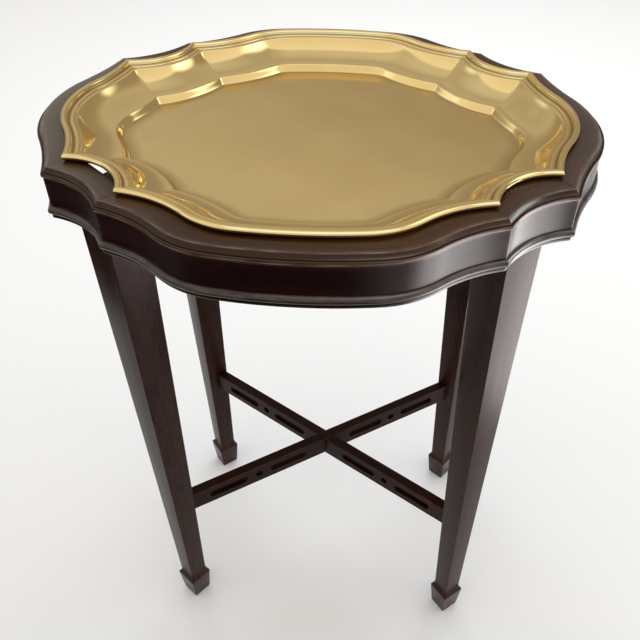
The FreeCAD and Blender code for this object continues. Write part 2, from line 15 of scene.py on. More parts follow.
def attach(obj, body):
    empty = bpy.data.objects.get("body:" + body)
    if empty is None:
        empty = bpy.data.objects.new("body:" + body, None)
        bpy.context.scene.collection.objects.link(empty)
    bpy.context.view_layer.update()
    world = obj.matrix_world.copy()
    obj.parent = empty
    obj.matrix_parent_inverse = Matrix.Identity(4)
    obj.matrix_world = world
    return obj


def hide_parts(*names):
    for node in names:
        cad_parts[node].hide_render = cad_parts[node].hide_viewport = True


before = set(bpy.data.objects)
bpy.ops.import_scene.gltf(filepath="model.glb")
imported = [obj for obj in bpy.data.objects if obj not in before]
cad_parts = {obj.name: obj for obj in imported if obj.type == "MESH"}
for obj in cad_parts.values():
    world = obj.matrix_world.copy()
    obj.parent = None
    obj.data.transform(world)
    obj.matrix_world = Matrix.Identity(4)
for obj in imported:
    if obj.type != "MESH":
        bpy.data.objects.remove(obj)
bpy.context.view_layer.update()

MM = 0.001
TURN = 2 * math.pi

# Plan of the top at its arris, and of the tray at the outer edge of its rim
TOP_PLAN = dict(
    half_width=240.0, half_depth=203.4, side_rise=35.0, front_rise=53.4, corner_width=55.0, corner_depth=44.0,
    scoop_depth=7.5, side_bow=110.0, side_angle=14.8, front_bow=400.0, front_flank=90.0, front_shoulder=75.0,
    front_angle=18.0,
)
TRAY_PLAN = dict(
    half_width=223.4, half_depth=188.0, side_rise=27.4, front_rise=47.1, corner_width=54.1, corner_depth=46.3,
    scoop_depth=14.5, side_bow=90.0, side_angle=6.0, front_bow=400.0, front_flank=94.0, front_shoulder=70.0,
    front_angle=7.8,
)
RUNS = ["right", "back_right", "back", "back_left", "left", "front_left", "front", "front_right"]

# Heights of the frame
TOP_HEIGHT = 620.0
LIP_TOP = 616.0
LIP_BOTTOM = 612.5
TOP_UNDERSIDE = 610.5
FRIEZE_BOTTOM = 586.0
BEAD_BOTTOM = 575.0
LEG_TOP = 603.5

# Moulded edge of the top: the cove's middle lies this far out and down from the arris, the cove and the
# quirk below it end this far out, and the flat starts this far in
COVE_MIDDLE = (1.2, 2.25)
COVE_OUT = 2.9
QUIRK_OUT = 3.5
QUIRK_DROP = 0.1
FLAT_START = 3.0

# How far each face stands out from the arris, how far in each back lies, and the radius of the bead's nose
LIP_OUT = 4.5
FRIEZE_OUT = 3.4
FRIEZE_BACK = 16.6
BEAD_OUT = 6.56
BEAD_BACK = 1.3
NOSE_RADIUS = 4.0
FILLET_OUT = 4.2

# Tray: wall of the opening; bead, foot, seat, groove and inner quirk of the rim; flange, shoulder, hollow
# side with its last slope in radians, step, floor and thickness of the sheet
OPENING_INSET = 11.3
CORNER_FILL = {"front_right": 9.0, "front_left": -1.8}
RIM_BOTTOM = 0.3
RIM_MIDDLE = 3.0
RIM_RADIUS = 2.94
RIM_FOOT = 6.0
RIM_SEAT = 1.9
GROOVE_INSET = 7.0
RIM_QUIRK = 11.9
FLANGE_INSET = 6.1
FLANGE_TOP = 1.8
SHOULDER_INSET = 11.7
SHOULDER_WIDTH = 2.9
HOLLOW_WIDTH = 28.6
HOLLOW_DROP = 14.9
HOLLOW_LAST_SLOPE = 0.023
STEP_WIDTH = 5.8
STEP_DROP = 6.69
FLOOR_DROP = 21.311
SHEET = 1.5

# The loose tray lies a little turned in the top, in degrees
TRAY_TURN = 0.87

# Legs: half size, height, rounding of the corners and wear at each level, from the floor up
LEG_CENTRE = (161.1, 105.4)
LEG_LEVELS = [
    (10.2, 0.0, 0.6, 0.2), (10.8, 0.4, 0.9, 0.5), (11.3, 1.5, 1.0, 0.3), (13.75, 35.2, 0.8, 0.6),
    (13.9, 36.2, 0.8, 1.0), (13.8, 36.8, 0.8, 0.6), (10.75, 41.0, 0.6, 0.5), (10.45, 41.6, 0.5, 0.9),
    (10.5, 42.6, 0.5, 0.3), (13.0, 193.0, 0.7, 0.2), (19.0, BEAD_BOTTOM, 0.9, 0.1), (19.0, LEG_TOP, 0.9, 0.0),
]
LEG_CORNER_POINTS = 6

# Bars of the stretcher between opposite legs: height of their middle, half sizes, easing of the arrises,
# start of the flat edge, end of an arm, end of the crossing, and its shift for each millimetre across
BAR_MIDDLE = 180.0
BAR_HALF_HEIGHT = 13.0
BAR_HALF_THICKNESS = 6.0
BAR_EASE = 0.5
BAR_FLAT = 1.3
BAR_END = 179.9
CROSSING_END = 6.6
CROSSING_SLANT = 0.4373

# Pierced cells of an arm: where each begins and ends, half the straight of its hole, and the hole's radius
BAR_CELLS = [(24.7, 83.8, 19.75, 5.0), (83.8, 102.4, 0.0, 4.5), (102.4, 161.5, 19.75, 5.0)]

# Radius that eases a cusp, distance between points along a run or a bar, and counts of points
WOOD_CUSP = 1.0
OPENING_CUSP = 0.3
RIM_CUSP = 0.8
PAN_CUSP = 4.0
WOOD_STEP = 3.0
TRAY_STEP = 2.4
BAR_STEP = 1.5
BAR_ROWS = 17
CUSP_POINTS = 5

# Wear is 1 where the stain is rubbed off and the arris is painted with a highlight, 0 on sound polish, and
# below 0 painted shade, -1 the darkest
# Rubbed arrises, painted lighter also as a highlight
RUBBED_AND_HIGHLIT_ARRIS = 1.0
RUBBED_AND_HIGHLIT_BAR = 0.6
# Painted shade in the cove, the tray's painted shadow at the top's inner edge, and painted shade in the quirk
# and under the bead's nose
PAINTED_SHADE_COVE = -0.25
PAINTED_TRAY_SHADOW = -0.8
PAINTED_SHADE_QUIRK = -0.9
PAINTED_SHADE_UNDER_NOSE = -1.0

# Edges that turn more than this are drawn sharp
SHARP_TURN = math.radians(35)


def turned(points, angle):
    """Plan points turned about the origin."""
    c, s = math.cos(angle), math.sin(angle)
    return points @ np.array([[c, s], [-s, c]])


def turned_arcs(arcs, angle):
    """Arcs turned about the origin: their centres move and both their angles grow by the turn."""
    moved = arcs.copy()
    moved[:, :2] = turned(arcs[:, :2], angle)
    moved[:, 3:5] += angle
    return moved


def bowed_side(crown, half_length, rise, bow, shoulder, flank, cusp_angle):
    """Arcs of a bowed side seen from its middle, with the outside to the right.

    Each row is centre x, centre y, radius, first angle, last angle, and 1 for a bulging arc or -1 for a
    hollow one. The bow has slope zero at the crown; the shoulder carries on to a steepest slope s, and the
    hollow brings the slope back to the cusp angle c. The drop of the hollow over a length l is
    l tan((s + c) / 2), and s is the slope at which all drops add up to the rise.
    """
    cusp_turn = math.radians(cusp_angle)
    bow_turn = math.asin((half_length - flank) / bow)
    slopes = np.linspace(max(bow_turn, cusp_turn), math.radians(80), 20000)
    along = bow * math.sin(bow_turn) + shoulder * (np.sin(slopes) - math.sin(bow_turn))
    drop = bow * (1 - math.cos(bow_turn)) + shoulder * (math.cos(bow_turn) - np.cos(slopes))
    total = drop + (half_length - along) * np.tan((slopes + cusp_turn) / 2)
    slope = float(np.interp(rise, total, slopes))
    along = float(np.interp(slope, slopes, along))
    drop = float(np.interp(slope, slopes, drop))
    hollow = (half_length - along) / (math.sin(slope) - math.sin(cusp_turn))
    reach = bow - shoulder
    shoulder_x = crown - bow + reach * math.cos(bow_turn)
    shoulder_y = reach * math.sin(bow_turn)
    hollow_x = crown - drop + hollow * math.cos(slope)
    hollow_y = along + hollow * math.sin(slope)
    half = math.pi
    rows = [
        (hollow_x, -hollow_y, hollow, half - cusp_turn, half - slope, -1),
        (shoulder_x, -shoulder_y, shoulder, -slope, -bow_turn, 1),
        (crown - bow, 0.0, bow, -bow_turn, bow_turn, 1),
        (shoulder_x, shoulder_y, shoulder, bow_turn, slope, 1),
        (hollow_x, hollow_y, hollow, half + slope, half + cusp_turn, -1),
    ]
    if flank >= half_length:
        rows = [rows[0], (shoulder_x, 0.0, shoulder, -slope, slope, 1), rows[4]]
    return np.array(rows)


def corner_scoop(first, last, depth):
    """One hollow arc from cusp to cusp: radius = (half chord squared + depth squared) / (2 depth)."""
    first, last = np.array(first), np.array(last)
    half_chord = np.linalg.norm(last - first) / 2
    radius = (half_chord ** 2 + depth ** 2) / (2 * depth)
    along = (last - first) / (2 * half_chord)
    outward = np.array([along[1], -along[0]])
    centre = (first + last) / 2 + outward * (radius - depth)
    toward = math.atan2(-outward[1], -outward[0])
    spread = math.asin(half_chord / radius)
    return np.array([(*centre, radius, toward + spread, toward - spread, -1)])


def outline(plan):
    """Eight runs of arcs, counterclockwise from the right: bowed sides and corner scoops by turns."""
    x_side = plan["half_width"] - plan["side_rise"]
    y_front = plan["half_depth"] - plan["front_rise"]
    x_front = x_side - plan["corner_width"]
    y_side = y_front - plan["corner_depth"]
    bow = plan["side_bow"]
    right = bowed_side(plan["half_width"], y_side, plan["side_rise"], bow, bow, y_side, plan["side_angle"])
    back = bowed_side(plan["half_depth"], x_front, plan["front_rise"], plan["front_bow"],
                      plan["front_shoulder"], plan["front_flank"], plan["front_angle"])
    back = turned_arcs(back, math.pi / 2)
    depth = plan["scoop_depth"]
    runs = [
        right,
        corner_scoop((x_side, y_side), (x_front, y_front), depth),
        back,
        corner_scoop((-x_front, y_front), (-x_side, y_side), depth),
    ]
    return runs + [turned_arcs(run, math.pi) for run in runs]


def cusp(runs, index, insets):
    """Where run index begins, moved in by each inset: the nearer crossing of its two end circles."""
    before = runs[index - 1][-1]
    after = runs[index % len(runs)][0]
    near = after[:2] + after[2] * np.array([math.cos(after[3]), math.sin(after[3])])
    radius_a = before[2] - before[5] * insets
    radius_b = after[2] - after[5] * insets
    gap = np.linalg.norm(after[:2] - before[:2])
    direction = (after[:2] - before[:2]) / gap
    along = (radius_a ** 2 - radius_b ** 2 + gap ** 2) / (2 * gap)
    across = np.sqrt(radius_a ** 2 - along ** 2)
    foot = before[:2] + along[:, None] * direction
    side = np.array([-direction[1], direction[0]])
    sign = 1.0 if np.dot(near - before[:2], side) > 0 else -1.0
    return foot + sign * across[:, None] * side


def angle_near(vectors, angle):
    """Angles of plan vectors, taken within half a turn of a given angle."""
    found = np.arctan2(vectors[..., 1], vectors[..., 0])
    return found + TURN * np.round((angle - found) / TURN)


def spin(centres, radii, first, last, count):
    """Points on arcs, one arc for each inset: centre + radius (cos a, sin a), a from first to last."""
    share = np.linspace(0, 1, count)
    angles = first[:, None] + (last - first)[:, None] * share
    spokes = np.stack([np.cos(angles), np.sin(angles)], -1)
    return centres[:, None, :] + radii[:, None, None] * spokes


def run_curve(runs, index, insets, ease, spacing):
    """Plan points of one run at each inset, as an array of insets by points by two.

    Both cusps are eased: a circle of that radius fits inside the cusp, its centre on the cusp of the
    outline moved in by the ease, and the run ends half way round it. Neighbours meet there.
    """
    insets = np.asarray(insets, float)
    run = runs[index]
    pieces = []
    ends = [cusp(runs, index, insets + ease), cusp(runs, index + 1, insets + ease)]
    others = [runs[index - 1][-1], runs[(index + 1) % len(runs)][0]]
    round_off = []
    for centre, arc, other in zip(ends, (run[0], run[-1]), others):
        to_arc = arc[:2] - centre
        to_other = other[:2] - centre
        to_arc /= np.linalg.norm(to_arc, axis=1, keepdims=True)
        to_other /= np.linalg.norm(to_other, axis=1, keepdims=True)
        middle = to_arc + to_other
        facing = np.arctan2(middle[:, 1], middle[:, 0])
        round_off.append((centre, facing, angle_near(to_arc, facing)))
    radii = np.full(len(insets), ease)
    centre, facing, own = round_off[0]
    pieces.append(spin(centre, radii, facing, own, CUSP_POINTS)[:, :-1])
    for place, arc in enumerate(run):
        first = np.full(len(insets), arc[3])
        last = np.full(len(insets), arc[4])
        if place == 0:
            first = angle_near(ends[0] - arc[:2], arc[3])
        if place == len(run) - 1:
            last = angle_near(ends[1] - arc[:2], arc[4])
        count = max(6, int(arc[2] * abs(arc[4] - arc[3]) / spacing) + 2)
        centres = np.repeat(arc[None, :2], len(insets), 0)
        made = spin(centres, arc[2] - arc[5] * insets, first, last, count)
        pieces.append(made[:, :-1])
    centre, facing, own = round_off[1]
    pieces.append(spin(centre, radii, own, facing, CUSP_POINTS))
    return np.concatenate(pieces, 1)


def eased(corners):
    """A section with its arrises rubbed round, as rows of inset, height and the mark of wear and painted
    light.

    Each corner is (inset, height, ease, mark), the mark holding wear and painted highlight above nought and
    painted shade below it. It becomes a short parabola that starts one ease before the corner and ends one
    ease after it: (1-s)^2 a + 2 s (1-s) corner + s^2 b.
    """
    points = np.array([corner[:2] for corner in corners], float)
    rows = []
    for place, (inset, height, ease, wear_sheen_and_shade) in enumerate(corners):
        if ease == 0 or place in (0, len(corners) - 1):
            rows.append((inset, height, wear_sheen_and_shade))
            continue
        back = points[place - 1] - points[place]
        on = points[place + 1] - points[place]
        a = points[place] + back / np.linalg.norm(back) * min(ease, 0.45 * np.linalg.norm(back))
        b = points[place] + on / np.linalg.norm(on) * min(ease, 0.45 * np.linalg.norm(on))
        for s in np.linspace(0, 1, 5):
            x, z = (1 - s) ** 2 * a + 2 * s * (1 - s) * points[place] + s ** 2 * b
            rows.append((x, z, wear_sheen_and_shade * (1 - 0.5 * abs(2 * s - 1))))
    return np.array(rows)


def curve_between(start, middle, end, count):
    """Inner points of a parabola through three points, for a cove or a hollow in a section."""
    start, middle, end = (np.array(point, float) for point in (start, middle, end))
    control = 2 * middle - (start + end) / 2
    s = np.linspace(0, 1, count + 2)[1:-1, None]
    return (1 - s) ** 2 * start + 2 * s * (1 - s) * control + s ** 2 * end


def lengths_along(points):
    """Distance travelled along rows of points, starting from zero."""
    steps = np.linalg.norm(np.diff(points, axis=0), axis=1)
    return np.concatenate([[0.0], np.cumsum(steps)])


def grid_quads(rows, columns, wrap_rows=False, wrap_columns=False):
    """Vertex numbers of the quads of a grid, row by row, and the same in a grid that doesn't wrap."""
    down = np.arange(rows - (not wrap_rows))
    on = np.arange(columns - (not wrap_columns))
    i, j = (place.ravel() for place in np.meshgrid(down, on, indexing="ij"))
    corners = [(i, j), (i + 1, j), (i + 1, j + 1), (i, j + 1)]
    faces = np.stack([(a % rows) * columns + b % columns for a, b in corners], 1)
    places = np.stack([a * (columns + wrap_columns) + b for a, b in corners], 1)
    return faces, places


def add_piece(name, vertices, faces, corner_uv, marks):
    """A mesh object from vertices in millimetres, faces as lists of vertex numbers, one UV pair (in metres
    along and across the grain) for each corner of each face, and named values for each vertex."""
    mesh = bpy.data.meshes.new(name)
    sizes = np.array([len(face) for face in faces])
    loops = np.concatenate([np.asarray(face) for face in faces]).astype(np.int32)
    mesh.vertices.add(len(vertices))
    mesh.vertices.foreach_set("co", (np.asarray(vertices) * MM).astype(np.float32).ravel())
    mesh.loops.add(len(loops))
    mesh.loops.foreach_set("vertex_index", loops)
    mesh.polygons.add(len(faces))
    starts = np.concatenate([[0], np.cumsum(sizes)[:-1]]).astype(np.int32)
    mesh.polygons.foreach_set("loop_start", starts)
    mesh.polygons.foreach_set("loop_total", sizes.astype(np.int32))
    mesh.update(calc_edges=True)
    layer = mesh.uv_layers.new(name="grain")
    layer.data.foreach_set("uv", (np.asarray(corner_uv) * MM).astype(np.float32).ravel())
    for mark, values in marks.items():
        attribute = mesh.attributes.new(mark, "FLOAT", "POINT")
        attribute.data.foreach_set("value", np.asarray(values, np.float32).ravel())
    mesh.polygons.foreach_set("use_smooth", np.ones(len(faces), bool))
    mesh.set_sharp_from_angle(angle=SHARP_TURN)
    piece = bpy.data.objects.new(name, mesh)
    bpy.context.scene.collection.objects.link(piece)
    return piece


def swept_solid(name, grid, marks, closed_path=False):
    """A closed section carried along a path: grid is section by path by three, and the section closes on
    itself. An open path gets a flat end at each mitre. Marks are named values for each point."""
    rows, columns = grid.shape[:2]
    vertices = grid.reshape(-1, 3)
    faces, places = grid_quads(rows, columns, True, closed_path)
    path = grid.mean(0)
    if closed_path:
        path = np.concatenate([path, path[:1]])
    section = np.concatenate([grid[:, columns // 2], grid[:1, columns // 2]])
    along, across = np.meshgrid(lengths_along(path), lengths_along(section))
    flat = np.stack([along.ravel(), across.ravel()], 1)
    outward = grid_volume(vertices, faces) > 0
    order = slice(None) if outward else slice(None, None, -1)
    all_faces = list(faces[:, order])
    uv = [flat[places[:, order].ravel()]]
    if not closed_path:
        first = np.arange(rows) * columns
        for cap in (first, first + columns - 1):
            cap = cap if (cap[0] == 0) == outward else cap[::-1]
            all_faces.append(cap)
            uv.append(vertices[cap][:, 1:])
    return add_piece(name, vertices, all_faces, np.concatenate(uv), marks)


def grid_volume(vertices, faces):
    """Six times the signed volume under the quads, from the sum of their corner determinants."""
    a, b, c, d = (vertices[faces[:, k]] for k in range(4))
    one = np.einsum("ij,ij->i", a, np.cross(b, c))
    two = np.einsum("ij,ij->i", a, np.cross(c, d))
    return float((one + two).sum())


# Outlines of the top and of the turned tray
TOP = outline(TOP_PLAN)
TRAY = [turned_arcs(run, math.radians(TRAY_TURN)) for run in outline(TRAY_PLAN)]


def with_heights(plan_grid, heights):
    """Plan points of a section by path grid, given one height for each row."""
    tall = np.broadcast_to(np.asarray(heights)[:, None, None], plan_grid.shape[:2] + (1,))
    return np.concatenate([plan_grid, tall], -1)


def moulded_edge():
    """Section of the top's edge: arris, cove, quirk, lip and the small return above the frieze, with painted
    shade in the cove and the quirk.
    """
    arris = (0.0, TOP_HEIGHT)
    cove = (-COVE_MIDDLE[0], TOP_HEIGHT - COVE_MIDDLE[1])
    cove_foot = (-COVE_OUT, LIP_TOP)
    quirk = LIP_TOP - QUIRK_DROP
    corners = [(FLAT_START, TOP_HEIGHT, 0, 0.0), (*arris, 0.7, RUBBED_AND_HIGHLIT_ARRIS)]
    # The cove is painted with shade and the quirk below it darker still
    corners += [(x, z, 0, PAINTED_SHADE_COVE) for x, z in curve_between(arris, cove, cove_foot, 7)]
    corners += [
        (*cove_foot, 0, PAINTED_SHADE_QUIRK),
        (-QUIRK_OUT, quirk, 0, PAINTED_SHADE_QUIRK),
        # The lip's edges are painted lighter, as rubbed and as a painted highlight
        (-LIP_OUT, quirk, 0.8, 0.2),
        (-LIP_OUT, LIP_BOTTOM, 1.0, 1.3),
        (-FRIEZE_OUT, LIP_BOTTOM, 0, 0.0),
        (-FRIEZE_OUT, TOP_UNDERSIDE, 0, 0.0),
    ]
    return eased(corners)


def opening_curve(index, count):
    """Inner edge of the top: along the tray's side on a bowed run, straight across a corner.

    The front right corner is cut closer to the tray, and the front left one wider, each along a parabola.
    """
    if index % 2 == 0:
        return run_curve(TRAY, index, [OPENING_INSET], OPENING_CUSP, WOOD_STEP)[0]
    first = opening_curve(index - 1, 0)[-1]
    last = opening_curve((index + 1) % len(RUNS), 0)[0]
    share = np.linspace(0, 1, count)[:, None]
    line = first + (last - first) * share
    inward = np.array([first[1] - last[1], last[0] - first[0]]) / np.linalg.norm(last - first)
    return line + inward * CORNER_FILL.get(RUNS[index], 0.0) * 4 * share * (1 - share)


def resample(points, count):
    """The same line with evenly shared points."""
    travelled = lengths_along(points)
    wanted = np.linspace(0, travelled[-1], count)
    return np.stack([np.interp(wanted, travelled, points[:, k]) for k in range(2)], 1)


def end_marks(columns, amount):
    """A lighter mark that fades over the first and last five points of a path, where the arris at a cusp is
    rubbed and painted with a highlight.
    """
    place = np.arange(columns)
    near = np.minimum(place, columns - 1 - place)
    return amount * np.clip(1 - near / 5, 0, 1)


def top_piece(index, name):
    """The moulded edge carried along one run; the flat of the top reaches in to the tray and is painted with
    the tray's shadow there.
    """
    section = moulded_edge()
    outer = run_curve(TOP, index, section[:, 0], WOOD_CUSP, WOOD_STEP)
    columns = outer.shape[1]
    inner = resample(opening_curve(index, columns), columns)
    outer = with_heights(outer, section[:, 1])
    inside = with_heights(np.stack([inner, inner]), [TOP_UNDERSIDE, TOP_HEIGHT])
    grid = np.concatenate([outer, inside])
    # The flat darkens towards the tray with the tray's painted shadow
    wear_sheen_and_shade = np.concatenate([section[:, 2], [0.0, PAINTED_TRAY_SHADOW]])[:, None] * np.ones(columns)
    return swept_solid(name, grid, {"wear_sheen_and_shade": wear_sheen_and_shade})


def frieze_piece(index, name):
    """A plain upright band, rubbed and painted with a highlight along the arris at each cusp."""
    insets = [FRIEZE_BACK, -FRIEZE_OUT, -FRIEZE_OUT, FRIEZE_BACK]
    heights = [TOP_UNDERSIDE, TOP_UNDERSIDE, FRIEZE_BOTTOM, FRIEZE_BOTTOM]
    grid = with_heights(run_curve(TOP, index, insets, WOOD_CUSP, WOOD_STEP), heights)
    wear_sheen_and_shade = np.broadcast_to(end_marks(grid.shape[1], 0.9), grid.shape[:2])
    return swept_solid(name, grid, {"wear_sheen_and_shade": wear_sheen_and_shade})


def bead_piece(index, name):
    """A half round nose over a small square fillet.

    At an angle a above the nose's crown the mark is 0.45 cos(1.4 a - 0.86): a painted highlight with some
    rubbing towards the top, painted shade underneath.
    """
    middle = FRIEZE_BOTTOM - NOSE_RADIUS
    nose = []
    for a in np.radians(np.linspace(90, -90, 17)):
        out = BEAD_OUT - NOSE_RADIUS * (1 - math.cos(a))
        nose.append((-out, middle + NOSE_RADIUS * math.sin(a), 0, 0.45 * math.cos(1.4 * a - 0.86)))
    section = eased(
        [(BEAD_BACK, FRIEZE_BOTTOM, 0, 0.0)] + nose + [
            # The corner under the nose is painted with the darkest shade; the fillet's lower arris is painted
            # lighter, rubbed and highlit
            (-FILLET_OUT, middle - NOSE_RADIUS, 0, PAINTED_SHADE_UNDER_NOSE),
            (-FILLET_OUT, BEAD_BOTTOM, 0.6, RUBBED_AND_HIGHLIT_ARRIS),
            (BEAD_BACK, BEAD_BOTTOM, 0, 0.0),
        ])
    grid = with_heights(run_curve(TOP, index, section[:, 0], WOOD_CUSP, WOOD_STEP), section[:, 1])
    wear_sheen_and_shade = section[:, 2][:, None] + end_marks(grid.shape[1], 0.6)
    return swept_solid(name, grid, {"wear_sheen_and_shade": wear_sheen_and_shade})


def closed_ring(section, ease):
    """All eight runs of the tray joined into one ring, as section by path by three."""
    runs = [run_curve(TRAY, index, section[:, 0], ease, TRAY_STEP)[:, :-1] for index in range(len(RUNS))]
    return with_heights(np.concatenate(runs, 1), TOP_HEIGHT + section[:, 1])


def rim_section():
    """Round bead, groove, low flat crest and foot of the tray's border, as inset and height."""
    angles = np.radians(np.linspace(-90, 172, 30))
    spokes = RIM_RADIUS * np.stack([-np.cos(angles), np.sin(angles)], 1)
    bead = spokes + (RIM_MIDDLE, RIM_BOTTOM + RIM_MIDDLE)
    groove = [(6.25, 3.0), (6.6, 2.55), (7.05, 2.35), (7.6, 2.38), (8.2, 2.65), (8.8, 2.88)]
    crest = [(9.5, 2.98), (10.3, 2.92), (11.0, 2.65), (11.45, 2.25), (11.6, RIM_SEAT)]
    foot = [(RIM_FOOT, RIM_SEAT), (RIM_FOOT, RIM_BOTTOM)]
    return np.concatenate([bead, groove, crest, foot])


def floor_step(start, count):
    """The step to the floor: level at both ends, it falls by s s (3 - 2 s) over a share s of its width."""
    s = np.linspace(0, 1, count)
    return np.stack([start[0] + STEP_WIDTH * s, start[1] - STEP_DROP * s * s * (3 - 2 * s)], 1)


def pan_sections():
    """Upper and lower face of the tray's sheet, from the flange to the floor, as inset and height.

    The shoulder is an arc on which the slope grows from level to its steepest, and the hollow an arc on
    which it goes back almost to level. The lower face is the same pair of arcs, one sheet further down.
    """
    steepest = 2 * math.atan(HOLLOW_DROP / HOLLOW_WIDTH)
    bend = SHOULDER_WIDTH / math.sin(steepest)
    sweep = HOLLOW_WIDTH / math.sin(steepest)
    low = FLANGE_TOP - bend
    shoulder = np.array([SHOULDER_INSET, low])
    far = SHOULDER_INSET + SHOULDER_WIDTH + HOLLOW_WIDTH
    hollow = np.array([far, low + (bend + sweep) * math.cos(steepest)])
    faces = []
    for down, fine in ((0.0, 2), (SHEET, 1)):
        turn = np.linspace(0, steepest, 8 * fine)
        rounded = shoulder + (bend - down) * np.stack([np.sin(turn), np.cos(turn)], 1)
        turn = np.linspace(steepest, HOLLOW_LAST_SLOPE, 14 * fine)[1:]
        hollowed = hollow - (sweep + down) * np.stack([np.sin(turn), np.cos(turn)], 1)
        step = floor_step(hollowed[-1], 10 * fine)[1:]
        faces.append(np.concatenate([[(FLANGE_INSET, FLANGE_TOP - down)], rounded, hollowed, step]))
    return faces


def beaten_floor(x, y):
    """Slow rise and fall of the tray's floor in millimetres, as from planishing and long use: three crossed
    waves that repeat every 90 to 200 mm along either axis."""
    one = 0.10 * np.sin(x / 27.0 + 0.6) * np.sin(y / 22.0 + 1.1)
    two = 0.07 * np.sin(x / 17.0 - y / 31.0 + 2.2)
    three = 0.05 * np.sin(x / 14.5 + y / 16.0)
    return one + two + three


def pan_piece(name):
    """The tray's pan: a ring of two sections, a floor of shrinking rings, and a plain underside.

    The waves of the floor fade out over its outer fifth. Painted shade lies within half a millimetre of the
    rim's quirk and of the floor's edge.
    """
    upper, lower = pan_sections()
    section = np.concatenate([lower[::-1], upper])
    ring = closed_ring(section, PAN_CUSP)
    rows, columns = ring.shape[:2]
    shares = np.linspace(1, 0, 15)[1:-1, None, None]
    inner = ring[-1, :, :2] * shares
    fade = np.clip((1 - shares) / 0.2, 0, 1)
    level = TOP_HEIGHT - FLOOR_DROP
    floor = np.concatenate([inner, level + fade * beaten_floor(inner[..., :1], inner[..., 1:])], -1)
    grid = np.concatenate([ring, floor])
    count = len(grid) * columns
    top_middle = (0.0, 0.0, level + beaten_floor(0.0, 0.0))
    low_middle = (0.0, 0.0, ring[0, 0, 2])
    vertices = np.concatenate([grid.reshape(-1, 3), [top_middle, low_middle]])
    quads, _ = grid_quads(len(grid), columns, False, True)
    around = np.arange(columns)
    last = (len(grid) - 1) * columns
    top_fan = np.stack([last + around, np.full(columns, count), last + (around + 1) % columns], 1)
    low_fan = np.stack([around, (around + 1) % columns, np.full(columns, count + 1)], 1)
    faces = [*quads, *top_fan, *low_fan]
    if grid_volume(vertices, quads) < 0:
        faces = [face[::-1] for face in faces]
    corners = np.concatenate(faces)
    # Painted shade along the rim's quirk and the floor's edge
    rim_quirk_shade = np.exp(-((section[:, 0] - RIM_QUIRK) / 0.4) ** 2)
    floor_edge_shade = np.exp(-((section[:, 1] + FLOOR_DROP) / 0.5) ** 2)
    painted_crease_shade = np.zeros(len(vertices))
    painted_crease_shade[:rows * columns] = np.repeat(0.5 * (rim_quirk_shade + floor_edge_shade), columns)
    return add_piece(name, vertices, faces, vertices[corners][:, :2], {"painted_crease_shade": painted_crease_shade})


def rim_piece(name):
    """The tray's border as one closed ring, with painted shade in its groove."""
    section = rim_section()
    ring = closed_ring(section, RIM_CUSP)
    # Painted shade in the groove
    painted_crease_shade = np.exp(-((section[:, 0] - GROOVE_INSET) / 0.8) ** 2) * (section[:, 1] > RIM_SEAT)
    return swept_solid(name, ring, {"painted_crease_shade": np.repeat(painted_crease_shade, ring.shape[1])}, closed_path=True)


def leg_piece(name, signs):
    """Rounded square sections stacked up the leg: spade foot, shoulder, long taper and straight top.

    The section is a square of half size h with quarter circles of the ease at its corners, and each leg
    faces at right angles to the scoop above it.
    """
    half, height, ease, rubbed = np.array(LEG_LEVELS).T
    quarter = np.linspace(0, 90, LEG_CORNER_POINTS)
    angles = np.radians(np.concatenate([quarter + 90 * k for k in range(4)]))
    corner = np.radians(np.repeat([45, 135, 225, 315], LEG_CORNER_POINTS))
    sides = np.sign(np.stack([np.cos(corner), np.sin(corner)], 1))
    spokes = np.stack([np.cos(angles), np.sin(angles)], 1)
    plan = (half - ease)[:, None, None] * sides + ease[:, None, None] * spokes
    facing = math.atan2(TOP_PLAN["corner_width"] * signs[1], TOP_PLAN["corner_depth"] * signs[0])
    plan = turned(plan.reshape(-1, 2), facing).reshape(plan.shape) + np.array(LEG_CENTRE) * signs
    grid = with_heights(plan, height)
    rows, columns = grid.shape[:2]
    vertices = grid.reshape(-1, 3)
    quads, places = grid_quads(rows, columns, False, True)
    around = lengths_along(np.concatenate([grid[-1], grid[-1, :1]]))
    across, along = np.meshgrid(around, height)
    flat = np.stack([along.ravel(), across.ravel()], 1)
    order = slice(None) if grid_volume(vertices, quads) > 0 else slice(None, None, -1)
    faces = list(quads[:, order])
    ring = np.arange(columns)
    caps = [ring[::-1], ring + (rows - 1) * columns]
    uv = np.concatenate([flat[places[:, order].ravel()]] + [vertices[cap][:, :2] for cap in caps])
    wear_sheen_and_shade = np.maximum(0.55 * np.abs(np.sin(2 * angles)), rubbed[:, None])
    return add_piece(name, vertices, faces + caps, uv, {"wear_sheen_and_shade": wear_sheen_and_shade})


def bar_points(first, last):
    """Places along a bar from first to last, one step apart or a little more."""
    return np.linspace(first, last, max(2, int((last - first) / BAR_STEP) + 1))


def bar_rectangle(first, last, half):
    """Points round a rectangle of a bar's side."""
    along = bar_points(first, last)
    up = np.linspace(-half, half, BAR_ROWS)
    return np.concatenate([
        np.stack([along[:-1], np.full(len(along) - 1, -half)], 1),
        np.stack([np.full(BAR_ROWS - 1, last), up[:-1]], 1),
        np.stack([along[:0:-1], np.full(len(along) - 1, half)], 1),
        np.stack([np.full(BAR_ROWS - 1, first), up[:0:-1]], 1),
    ])


